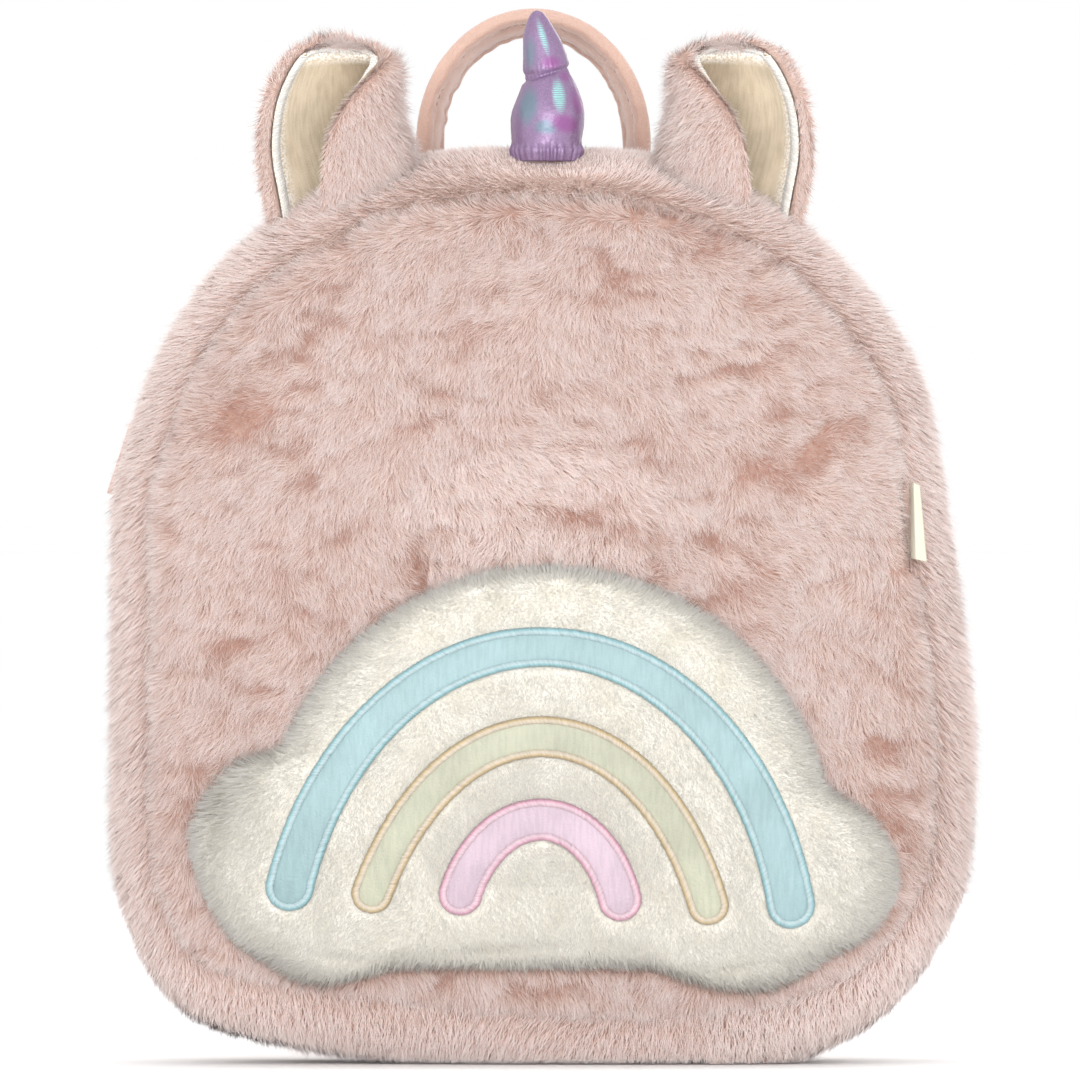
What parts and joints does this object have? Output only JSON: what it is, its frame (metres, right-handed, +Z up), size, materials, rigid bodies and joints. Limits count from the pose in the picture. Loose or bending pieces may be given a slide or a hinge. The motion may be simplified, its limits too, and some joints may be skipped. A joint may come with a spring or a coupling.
{
  "type": "kids animal backpack",
  "caption": "Small plush child's backpack with unicorn ears and horn, a padded cloud with a rainbow on its front, a top loop and two shoulder straps.",
  "frame": {"origin": "on the floor under the middle of the bag, on its flattened bottom", "axes": "+Z up, the front with the cloud faces -Y, the shoulder straps are on the +Y side, +X is to the right as seen from the front"},
  "size_m": [0.2642, 0.1576, 0.319],
  "materials": {
    "plush": "long soft faux-fur pile, dusty pink roots and silvery pink tips",
    "velour": "short-pile dusty pink velour",
    "cream": "short cream plush",
    "blue": "pale blue satin applique with satin-stitched edge",
    "yellow": "pale yellow satin applique with satin-stitched edge",
    "pink": "pale pink satin applique with satin-stitched edge",
    "lining": "cream velvet with a silvery thread border",
    "horn": "iridescent lilac foil cloth",
    "label": "cream woven tape, blank",
    "zipper": "woven tape and coil",
    "plastic": "moulded, satin"
  },
  "bodies": {
    "root": {"front_panel": "plush", "side_band": "plush", "back_panel": "velour", "zipper": "zipper", "zip_pull": "plastic", "cloud_patch": "cream", "rainbow_blue": "blue", "rainbow_yellow": "yellow", "rainbow_pink": "pink", "ear_left": "plush", "ear_right": "plush", "ear_lining_left": "lining", "ear_lining_right": "lining", "horn": "horn", "carry_loop": "velour", "shoulder_strap_left": "velour", "shoulder_strap_right": "velour", "strap_webbing_left": "velour", "strap_webbing_right": "velour", "strap_slider_left": "plastic", "strap_slider_right": "plastic", "side_label": "label"}
  },
  "joints": []
}
